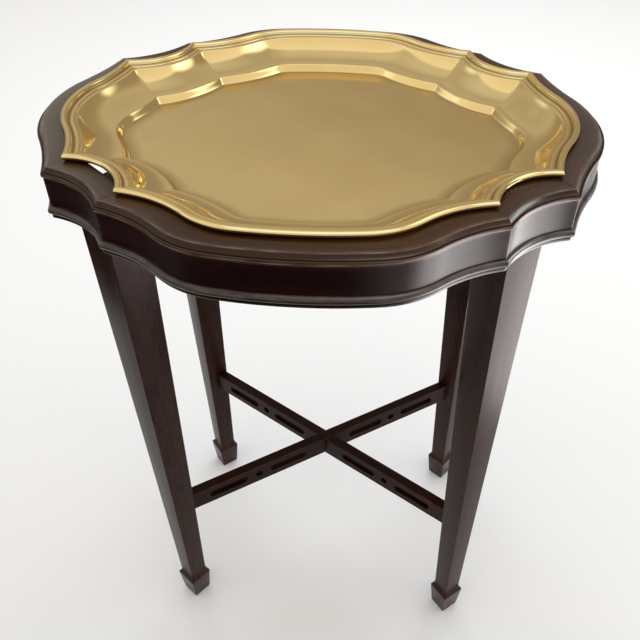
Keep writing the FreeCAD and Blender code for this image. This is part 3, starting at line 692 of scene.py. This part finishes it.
def pierced_cell(first, last, straight, radius, half):
    """One cell of a bar with its round-ended hole: rings of (along, across, up) and the mark of wear and
    painted highlight.

    The rings go from the cell's edge on one side, over the eased lip of the hole and through it, to the
    edge on the other side. A point of the hole is its nearest point on the slot's middle line plus the
    radius in the direction of the cell's edge.
    """
    edge = bar_rectangle(first, last, half)
    middle = (first + last) / 2
    axis = np.stack([np.clip(edge[:, 0], middle - straight, middle + straight), np.zeros(len(edge))], 1)
    outward = edge - axis
    outward /= np.linalg.norm(outward, axis=1, keepdims=True)
    side = BAR_HALF_THICKNESS
    sound = np.zeros(len(edge))
    lip = sound + 0.5
    rows = [
        # The edge rows and the hole's lip are painted lighter, as rubbed and as a painted highlight
        (edge, side, RUBBED_AND_HIGHLIT_BAR * (np.abs(edge[:, 1]) > half - 0.01)),
        (edge - 0.9 * outward, side, sound),
        (axis + (radius + 1.2) * outward, side, sound),
        (axis + (radius + 0.4) * outward, side, lip),
        (axis + radius * outward, side - 0.4, lip),
        (axis + radius * outward, side - 1.4, sound),
    ]
    rows += [(points, -across, wear_sheen_and_shade) for points, across, wear_sheen_and_shade in rows[::-1]]
    rings = [np.insert(points, 1, across, axis=1) for points, across, _ in rows]
    return np.stack(rings), np.stack([wear_sheen_and_shade for _, _, wear_sheen_and_shade in rows])


def plain_cell(first, last, bottom, top):
    """A cell of a bar without a hole: both sides, as two strips."""
    s, z = np.meshgrid(bar_points(first, last), np.linspace(bottom, top, BAR_ROWS))
    sides = [np.stack([s, np.full(s.shape, t), z], -1) for t in (BAR_HALF_THICKNESS, -BAR_HALF_THICKNESS)]
    return [(side, np.zeros(s.shape)) for side in sides]


def bar_edges(along, bottom, top):
    """Upper and lower edge of a bar with their eased arrises, as strips along it."""
    side = BAR_HALF_THICKNESS
    # The eased arrises are painted lighter, as rubbed and as a painted highlight
    rows = [(side, BAR_EASE, RUBBED_AND_HIGHLIT_BAR), (side - BAR_EASE, 0, RUBBED_AND_HIGHLIT_BAR), (side - BAR_FLAT, 0, 0)]
    rows += [(-across, down, wear_sheen_and_shade) for across, down, wear_sheen_and_shade in rows[::-1]]
    across, down, wear_sheen_and_shade = np.array(rows).T[..., None] * np.ones(len(along))
    place = np.broadcast_to(along, across.shape)
    return [(np.stack([place, across, level], -1), wear_sheen_and_shade) for level in (top - down, bottom + down)]


def bar_end(place, bottom, top):
    """A flat end of a bar: a strip between its sides and two slivers at the eased arrises."""
    up = np.linspace(bottom + BAR_EASE, top - BAR_EASE, BAR_ROWS)
    side = BAR_HALF_THICKNESS
    flat = side - BAR_EASE
    strip = [[(place, t, z) for z in up] for t in (side, -side)]
    grids = [np.array(strip)]
    for outer, inner in ((top, up[-1]), (bottom, up[0])):
        grids.append(np.array([[(place, side, inner), (place, -side, inner)],
                               [(place, flat, outer), (place, -flat, outer)]]))
    return [(grid, np.zeros(grid.shape[:2])) for grid in grids]


def stretcher_piece(name, way, over):
    """A pierced bar between opposite legs, with half of its height at the crossing.

    Each arm has a slot, a hole and a slot. The ends at the crossing are slanted along the other bar.
    """
    tall = BAR_HALF_HEIGHT
    half = tall - BAR_EASE
    inner_end = BAR_CELLS[0][0]
    outer_end = BAR_CELLS[-1][1]
    arm = plain_cell(CROSSING_END, inner_end, -half, half)
    stations = [bar_points(CROSSING_END, inner_end)]
    for first, last, straight, radius in BAR_CELLS:
        rings, wear_sheen_and_shade = pierced_cell(first, last, straight, radius, half)
        arm.append((np.concatenate([rings, rings[:, :1]], 1), np.concatenate([wear_sheen_and_shade, wear_sheen_and_shade[:, :1]], 1)))
        stations.append(bar_points(first, last)[1:])
    arm += plain_cell(outer_end, BAR_END, -half, half)
    stations.append(bar_points(outer_end, BAR_END)[1:])
    arm += bar_edges(np.concatenate(stations), -tall, tall)
    arm += bar_end(CROSSING_END, -tall, tall) + bar_end(BAR_END, -tall, tall)
    grids = [(grid * (sign, sign, 1), wear_sheen_and_shade) for sign in (1, -1) for grid, wear_sheen_and_shade in arm]
    bottom, top = (0.0, tall) if over else (-tall, 0.0)
    grids += plain_cell(-CROSSING_END, CROSSING_END, bottom + BAR_EASE, top - BAR_EASE)
    grids += bar_edges(bar_points(-CROSSING_END, CROSSING_END), bottom, top)
    grids += bar_end(-CROSSING_END, bottom, top) + bar_end(CROSSING_END, bottom, top)
    faces = []
    total = 0
    for grid, _ in grids:
        quads, _ = grid_quads(*grid.shape[:2])
        faces.append(quads + total)
        total += grid.shape[0] * grid.shape[1]
    local = np.concatenate([grid.reshape(-1, 3) for grid, _ in grids])
    marks = np.concatenate([wear_sheen_and_shade.ravel() for _, wear_sheen_and_shade in grids])
    fade = np.clip((inner_end - np.abs(local[:, 0])) / (inner_end - CROSSING_END), 0, 1)
    local[:, 0] -= local[:, 1] * CROSSING_SLANT * way * fade
    corners = np.concatenate(faces)
    along, across, up = local[corners.ravel()].T
    heading = math.atan2(LEG_CENTRE[1], way * LEG_CENTRE[0])
    placed = np.concatenate([turned(local[:, :2], heading), local[:, 2:] + BAR_MIDDLE], 1)
    piece = add_piece(name, placed, corners, np.stack([along, across + up], 1), {"wear_sheen_and_shade": marks})
    work = bmesh.new()
    work.from_mesh(piece.data)
    bmesh.ops.remove_doubles(work, verts=work.verts, dist=0.02 * MM)
    bmesh.ops.recalc_face_normals(work, faces=work.faces)
    work.to_mesh(piece.data)
    work.free()
    piece.data.set_sharp_from_angle(angle=SHARP_TURN)
    return piece


def add_node(tree, kind, inputs=None, **settings):
    """Adds a shader node, sets its properties, and sets or links its inputs."""
    made = tree.nodes.new("ShaderNode" + kind)
    for key, value in settings.items():
        setattr(made, key, value)
    for key, value in (inputs or {}).items():
        if isinstance(value, bpy.types.NodeSocket):
            tree.links.new(value, made.inputs[key])
        else:
            made.inputs[key].default_value = value
    return made


def colour(code):
    """Linear colour with alpha from an sRGB hex code."""
    parts = np.array([int(code[k:k + 2], 16) for k in (0, 2, 4)]) / 255
    linear = np.where(parts <= 0.04045, parts / 12.92, ((parts + 0.055) / 1.055) ** 2.4)
    return (*[float(part) for part in linear], 1.0)


def ramp(tree, value, stops):
    """A value turned to a colour, by stops given as position and colour."""
    made = add_node(tree, "ValToRGB", {"Fac": value})
    elements = made.color_ramp.elements
    while len(elements) < len(stops):
        elements.new(0.5)
    for element, (place, shade) in zip(elements, stops):
        element.position = place
        element.color = shade
    return made.outputs["Color"]


def remap(tree, value, span, result, **settings):
    """A value carried from one span to another, and held at its ends."""
    made = add_node(tree, "MapRange", {"Value": value, "From Min": span[0], "From Max": span[1],
                                       "To Min": result[0], "To Max": result[1]}, **settings)
    return made.outputs[0]


def calc(tree, operation, *values, clamp=False):
    """What one operation makes of two or three values."""
    return add_node(tree, "Math", dict(enumerate(values)), operation=operation, use_clamp=clamp).outputs[0]


def blend(tree, factor, first, second, kind="MIX"):
    """Two colours mixed, or multiplied."""
    inputs = {"Factor": factor, "A": first, "B": second}
    return add_node(tree, "Mix", inputs, data_type="RGBA", blend_type=kind).outputs["Result"]


def noise(tree, place, sizes, detail, turn=0.0, **more):
    """Noise whose grains have these sizes along the three axes, in metres, turned about the third axis."""
    scale = [1 / size for size in sizes]
    laid = add_node(tree, "Mapping", {"Vector": place, "Rotation": (0, 0, turn), "Scale": scale})
    made = add_node(tree, "TexNoise", {"Vector": laid.outputs[0], "Scale": 1.0, "Detail": detail, **more})
    return made.outputs["Fac"]


def new_material(name):
    """A material without nodes, and its tree."""
    material = bpy.data.materials.new(name)
    material.use_nodes = True
    material.node_tree.nodes.clear()
    return material, material.node_tree


def surfaced(material, inputs):
    """The material with one principled surface at the end of its nodes."""
    surface = add_node(material.node_tree, "BsdfPrincipled", inputs)
    add_node(material.node_tree, "OutputMaterial", {"Surface": surface.outputs[0]})
    return material


def polished_mahogany(name, dark, middle, light, rubbed, gloss):
    """Mahogany, stained dark and French polished, worn thin along the arrises.

    The eye sees a nearly black red-brown, fine straight fibre 1.5 mm wide, broad ribbon figure about 20 mm
    wide, short dark pores, a satin gloss, paler lines where the stain is rubbed off, which also paint a
    highlight on the arrises, and painted shade, dull and dark, where the mark is below nought: in the quirks,
    the cove, under the bead and in the tray's shadow.
    """
    material, tree = new_material(name)
    grain = add_node(tree, "UVMap", uv_map="grain").outputs["UV"]
    fibre = noise(tree, grain, (0.09, 0.0015, 1), 4.0, Roughness=0.6, Distortion=0.4)
    ribbon = noise(tree, grain, (0.16, 0.02, 1), 2.0)
    pore = noise(tree, grain, (0.012, 0.0007, 1), 1.0)
    chafe = noise(tree, grain, (0.018, 0.004, 1), 3.0)
    tone = calc(tree, "MULTIPLY", fibre, ribbon)
    stain = ramp(tree, tone, [(0.12, colour(dark)), (0.3, colour(middle)), (0.48, colour(light))])
    pit = remap(tree, pore, (0.30, 0.42), (0.55, 1.0))
    pitted = blend(tree, 1.0, stain, pit, "MULTIPLY")
    wear_sheen_and_shade = add_node(tree, "Attribute", attribute_name="wear_sheen_and_shade").outputs["Fac"]
    # The rubbed colour shows worn stain and paints a highlight along the arrises
    patchy = remap(tree, chafe, (0.35, 0.7), (0.1, 0.8))
    rub = calc(tree, "MULTIPLY", wear_sheen_and_shade, patchy, clamp=True)
    base = blend(tree, rub, pitted, colour(rubbed))
    # Below nought the mark paints shade: a darker colour and less gloss
    painted_shade_factor = remap(tree, wear_sheen_and_shade, (-1.0, 0.0), (0.08, 1.0))
    bump = add_node(tree, "Bump", {"Height": pit, "Strength": 0.12, "Distance": 0.0001})
    return surfaced(material, {
        "Base Color": blend(tree, 1.0, base, painted_shade_factor, "MULTIPLY"),
        "Roughness": remap(tree, ribbon, (0.3, 0.7), (0.22, 0.32)),
        "IOR": 1.5,
        "Specular IOR Level": calc(tree, "MULTIPLY", painted_shade_factor, gloss),
        "Normal": bump.outputs[0],
    })


def polished_brass(name):
    """Rolled brass sheet, spun and polished, then handled and rubbed for years.

    The eye sees a mellow yellow metal with a clear but soft reflection, duller smears 40 to 80 mm across,
    faint brown stains, fine rubbing lines, and painted shade, dark and rough, in the quirks of the mouldings.
    """
    material, tree = new_material(name)
    place = add_node(tree, "TexCoord").outputs["Object"]
    smear = noise(tree, place, (0.06,) * 3, 3.0, Roughness=0.55)
    stain = noise(tree, place, (0.035,) * 3, 5.0, Roughness=0.65, Distortion=1.2)
    rub = noise(tree, place, (0.05, 0.0012, 0.05), 2.0, turn=0.5)
    tone = ramp(tree, smear, [(0.3, (0.85, 0.665, 0.32, 1)), (0.7, (0.90, 0.715, 0.36, 1))])
    spots = remap(tree, stain, (0.60, 0.75), (0.0, 0.12))
    stained = blend(tree, spots, tone, colour("A98648"))
    # The crease mark paints shade in the quirks: towards the colour 5A4018, and rougher
    painted_crease_shade = add_node(tree, "Attribute", attribute_name="painted_crease_shade").outputs["Fac"]
    dark = calc(tree, "MULTIPLY", painted_crease_shade, 0.75, clamp=True)
    dull = remap(tree, smear, (0.3, 0.75), (0.05, 0.10))
    bump = add_node(tree, "Bump", {"Height": rub, "Strength": 0.04, "Distance": 0.00005})
    return surfaced(material, {
        "Base Color": blend(tree, dark, stained, colour("5A4018")),
        "Metallic": 1.0,
        "Roughness": calc(tree, "MULTIPLY_ADD", painted_crease_shade, 0.3, dull),
        "Normal": bump.outputs[0],
    })


def turned_steel(name):
    """Plain steel of the wood screws: grey, turned, with fine lathe lines."""
    material, tree = new_material(name)
    place = add_node(tree, "TexCoord").outputs["Object"]
    lines = noise(tree, place, (0.0006,) * 3, 1.0)
    dull = remap(tree, lines, (0.0, 1.0), (0.28, 0.45))
    return surfaced(material, {"Base Color": colour("9A9894"), "Metallic": 1.0, "Roughness": dull})


def plain_beech(name):
    """Unfinished beech of the dowels: pale, with short brown flecks 2 mm long."""
    material, tree = new_material(name)
    place = add_node(tree, "TexCoord").outputs["Object"]
    fleck = noise(tree, place, (0.002,) * 3, 2.0)
    shade = ramp(tree, fleck, [(0.35, colour("A5794F")), (0.6, colour("C9A27A"))])
    return surfaced(material, {"Base Color": shade, "Roughness": 0.65})


def dress(piece, node, body, material):
    """Gives a new piece its material and makes it stand for its CAD node."""
    piece.data.materials.append(material)
    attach(piece, body)
    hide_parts(node)


def repaint(node, material):
    """Gives a CAD node that stays in view its material."""
    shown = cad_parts[node]
    if not shown.data.materials:
        shown.data.materials.append(material)
    for slot in shown.material_slots:
        slot.material = material


# The same wood on four parts of the stand, each with three stains, a rubbed colour and a gloss: the top's
# copy is painted lighter for the sheen of its face, the frieze's, bead's and legs' copies painted darker
# against the pale floor they mirror, and the rubbed colours also paint the arrises' highlight
top_wood_painted_lighter = polished_mahogany("mahogany_top_painted_lighter", "261006", "3A1F0D", "502D17", "7A6E66", 0.38)
frieze_wood_painted_darker = polished_mahogany("mahogany_frieze_painted_darker", "120305", "1D0608", "2B0C0B", "7A6A60", 0.28)
bead_wood_painted_darker = polished_mahogany("mahogany_bead_painted_darker", "140506", "200A0A", "301110", "706C66", 0.5)
leg_wood_painted_darker = polished_mahogany("mahogany_leg_painted_darker", "130504", "200905", "331208", "5E463A", 0.11)
brass = polished_brass("polished_brass")

# The top and the bead have lights of their own, and so has the tray's border
moulded = bpy.data.collections.new("moulded_top")
for index, run in enumerate(RUNS):
    kind = "rail" if index % 2 == 0 else "corner"
    for part, make, wood in (("top", top_piece, top_wood_painted_lighter), ("frieze", frieze_piece, frieze_wood_painted_darker),
                             ("bead", bead_piece, bead_wood_painted_darker)):
        node = f"{part}_{kind}_{run}"
        piece = make(index, node + "_wood")
        dress(piece, node, "stand", wood)
        if part != "frieze":
            moulded.objects.link(piece)

for run, signs in zip(RUNS[1::2], ((1, 1), (-1, 1), (-1, -1), (1, -1))):
    dress(leg_piece(f"leg_{run}_wood", signs), f"leg_{run}", "stand", leg_wood_painted_darker)

for node, way, over in (("stretcher_bar_over", 1, True), ("stretcher_bar_under", -1, False)):
    dress(stretcher_piece(node + "_wood", way, over), node, "stand", leg_wood_painted_darker)

dress(pan_piece("tray_pan_brass"), "tray_pan", "tray", brass)
rim = rim_piece("tray_border_brass")
dress(rim, "tray_border", "tray", brass)
edging = bpy.data.collections.new("tray_edging")
edging.objects.link(rim)

steel = turned_steel("turned_steel")
beech = plain_beech("plain_beech")
for node in ("mitre_dowels", "leg_dowels"):
    repaint(node, beech)
for node in ("top_screws", "stretcher_screw"):
    repaint(node, steel)


def studio_floor():
    """A wide pale floor, lifted to white for what looks at it or mirrors it."""
    size = 9000.0
    corners = np.array([(-size, -size, 0), (size, -size, 0), (size, size, 0), (-size, size, 0)])
    floor = add_piece("studio_floor", corners, [np.arange(4)], corners[:, :2], {})
    material, tree = new_material("studio_floor")
    ray = add_node(tree, "LightPath").outputs
    seen = calc(tree, "MAXIMUM", ray["Is Camera Ray"], ray["Is Glossy Ray"])
    seen = calc(tree, "MAXIMUM", seen, ray["Is Transmission Ray"])
    floor.data.materials.append(surfaced(material, {
        "Base Color": (0.86, 0.87, 0.90, 1), "Roughness": 0.9,
        "Emission Color": (0.03, 0.05, 0.09, 1), "Emission Strength": seen,
    }))


def studio_world():
    """Even soft light: warm and dim low behind the table, paler overhead and to the left, brightest in
    front."""
    world = bpy.data.worlds.new("studio")
    bpy.context.scene.world = world
    world.use_nodes = True
    tree = world.node_tree
    tree.nodes.clear()
    place = add_node(tree, "TexCoord").outputs["Generated"]
    axes = add_node(tree, "SeparateXYZ", {"Vector": place}).outputs
    height = calc(tree, "MULTIPLY_ADD", axes["X"], -0.3, axes["Z"])
    behind = ramp(tree, height, [
        (0.2, (0.35, 0.30, 0.24, 1)), (0.4, (0.395, 0.335, 0.255, 1)), (0.56, (0.55, 0.50, 0.425, 1)),
        (0.8, (0.50, 0.455, 0.39, 1)), (1.0, (0.68, 0.64, 0.57, 1)),
    ])
    before = ramp(tree, calc(tree, "MULTIPLY", axes["Y"], -1.0), [
        (0.1, (1.0, 0.92, 0.79, 1)), (0.7, (0.88, 0.80, 0.66, 1)), (1.0, (0.76, 0.70, 0.60, 1)),
    ])
    front = remap(tree, axes["Y"], (0.04, -0.10), (0.0, 1.0), interpolation_type="SMOOTHSTEP")
    light = add_node(tree, "Background", {"Color": blend(tree, front, behind, before), "Strength": 1.0})
    add_node(tree, "OutputWorld", {"Surface": light.outputs[0]})


def placing(right, up, back, place):
    """The matrix that puts an object's three axes and its origin there."""
    return Matrix([*zip(right, up, back, place), (0, 0, 0, 1)])


def soft_box(name, place, target, size, radiance, tint, mirrored=True, lights=None, faded=False):
    """A rectangular soft light at a place, facing a target, in metres.

    Its power is the radiance of its face times pi times its area. One that isn't mirrored only fills the
    shadows and makes no highlight. One that lights a collection is flagged off everything else. A faded
    one is full in the middle and goes smoothly to nought at half its width.
    """
    lamp = bpy.data.lights.new(name, "AREA")
    lamp.shape = "RECTANGLE"
    lamp.size, lamp.size_y = size
    lamp.energy = radiance * math.pi * size[0] * size[1]
    lamp.color = tint
    box = bpy.data.objects.new(name, lamp)
    bpy.context.scene.collection.objects.link(box)
    away = np.array(place, float) - np.array(target, float)
    away /= np.linalg.norm(away)
    side = np.cross((0, 0, 1), away)
    side /= np.linalg.norm(side)
    top = np.cross(away, side)
    box.matrix_world = placing(side, top, away, place)
    box.visible_camera = False
    box.visible_glossy = mirrored
    if lights:
        box.light_linking.receiver_collection = lights
    if faded:
        lamp.use_nodes = True
        tree = lamp.node_tree
        tree.nodes.clear()
        across = add_node(tree, "NewGeometry").outputs["Parametric"]
        off = add_node(tree, "VectorMath", {0: across, 1: (0.5, 0.5, 0)}, operation="DISTANCE")
        glow = remap(tree, off.outputs["Value"], (0.5, 0.12), (0.0, 1.0), interpolation_type="SMOOTHSTEP")
        light = add_node(tree, "Emission", {"Strength": glow})
        add_node(tree, "OutputLight", {"Surface": light.outputs[0]})


def photo_camera():
    """The photograph's view: a camera 0.92 m up in front of the table, looking 41 degrees down.

    Its axes come from the heading, the dip and the roll that fit the photograph; the focal length is
    757 pixels of a frame 640 wide, and the shift puts the lens axis at pixel 351.
    """
    heading, dip, roll = -0.050, 0.720, 0.016
    width, focal, axis, sensor = 640, 757.386, 351.337, 36.0
    ahead = np.array([math.sin(heading) * math.cos(dip), math.cos(heading) * math.cos(dip), -math.sin(dip)])
    level = np.array([math.cos(heading), -math.sin(heading), 0.0])
    over = np.cross(level, ahead)
    right = level * math.cos(roll) + over * math.sin(roll)
    up = over * math.cos(roll) - level * math.sin(roll)
    place = np.array([60.789, -612.004, 921.515]) * MM
    data = bpy.data.cameras.new("photo_camera")
    data.sensor_width = sensor
    data.lens = focal / width * sensor
    data.shift_x = (width / 2 - axis) / width
    data.clip_start = 0.01
    camera = bpy.data.objects.new("photo_camera", data)
    bpy.context.scene.collection.objects.link(camera)
    camera.matrix_world = placing(right, up, -ahead, place)
    bpy.context.scene.camera = camera


def flag(name, x_range, y_range):
    """A dark card 4 mm above the floor, outside the picture. The camera doesn't see it; the polish
    mirrors it."""
    (left, right), (near, far) = x_range, y_range
    corners = np.array([(left, near, 4), (right, near, 4), (right, far, 4), (left, far, 4)])
    card = add_piece(name, corners, [np.arange(4)], corners[:, :2], {})
    material, _ = new_material(name)
    card.data.materials.append(surfaced(material, {"Base Color": colour("241C18"), "Roughness": 0.95}))
    card.visible_camera = False
    card.visible_diffuse = False
    card.visible_shadow = False


studio_floor()
studio_world()
flag("flag_front", (-1700, 250), (-1600, -400))
flag("flag_left", (-1700, -750), (-400, 700))

# Lights: place, target, size, radiance of the face and tint
soft_box("fill", (0.2, 1.4, 2.3), (0.2, 0.8, 0), (2.6, 1.8), 2.1, (0.92, 0.97, 1.0), mirrored=False)
soft_box("board_near", (0.66, -0.12, 0.03), (0.64, -0.12, 0.9), (0.9, 0.30), 5.3, (1.0, 0.93, 0.92))
soft_box("board_far", (1.1, -0.12, 0.03), (1.05, -0.12, 0.9), (1.0, 0.56), 6.2, (1.0, 0.95, 0.96))
soft_box("card_left", (-0.49, 0.51, 0.88), (-0.24, 0.0, 0.66), (0.28, 0.30), 0.75, (0.88, 1.0, 0.86),
         lights=moulded)
soft_box("card_right", (0.36, 0.51, 0.88), (0.22, 0.0, 0.66), (0.16, 0.34), 0.35, (0.75, 0.85, 1.0),
         lights=moulded)
soft_box("overhead", (0.6, -0.8, 1.8), (0.1, -0.15, 0.6), (1.0, 0.6), 3.3, (0.95, 1.0, 0.98), lights=moulded)
soft_box("window_right", (1.6, 0.2, 2.05), (0, 0, 0.6), (1.9, 1.9), 1.6, (0.95, 1.0, 0.95), faded=True)
soft_box("window_left", (-1.9, 0.4, 1.6), (0, 0, 0.6), (1.9, 1.4), 0.6, (0.95, 1.0, 0.95), faded=True)
soft_box("window_low", (1.2, 0.05, 0.78), (0.2, -0.1, 0.6), (0.6, 0.4), 11.0, (0.84, 1.0, 0.94),
         lights=moulded)
soft_box("rim_light", (0.2, -1.3, 2.0), (0, -0.1, 0.6), (2.4, 1.6), 0.55, (0.35, 0.9, 1.6), lights=edging)
photo_camera()
bpy.context.scene.view_settings.view_transform = "Standard"
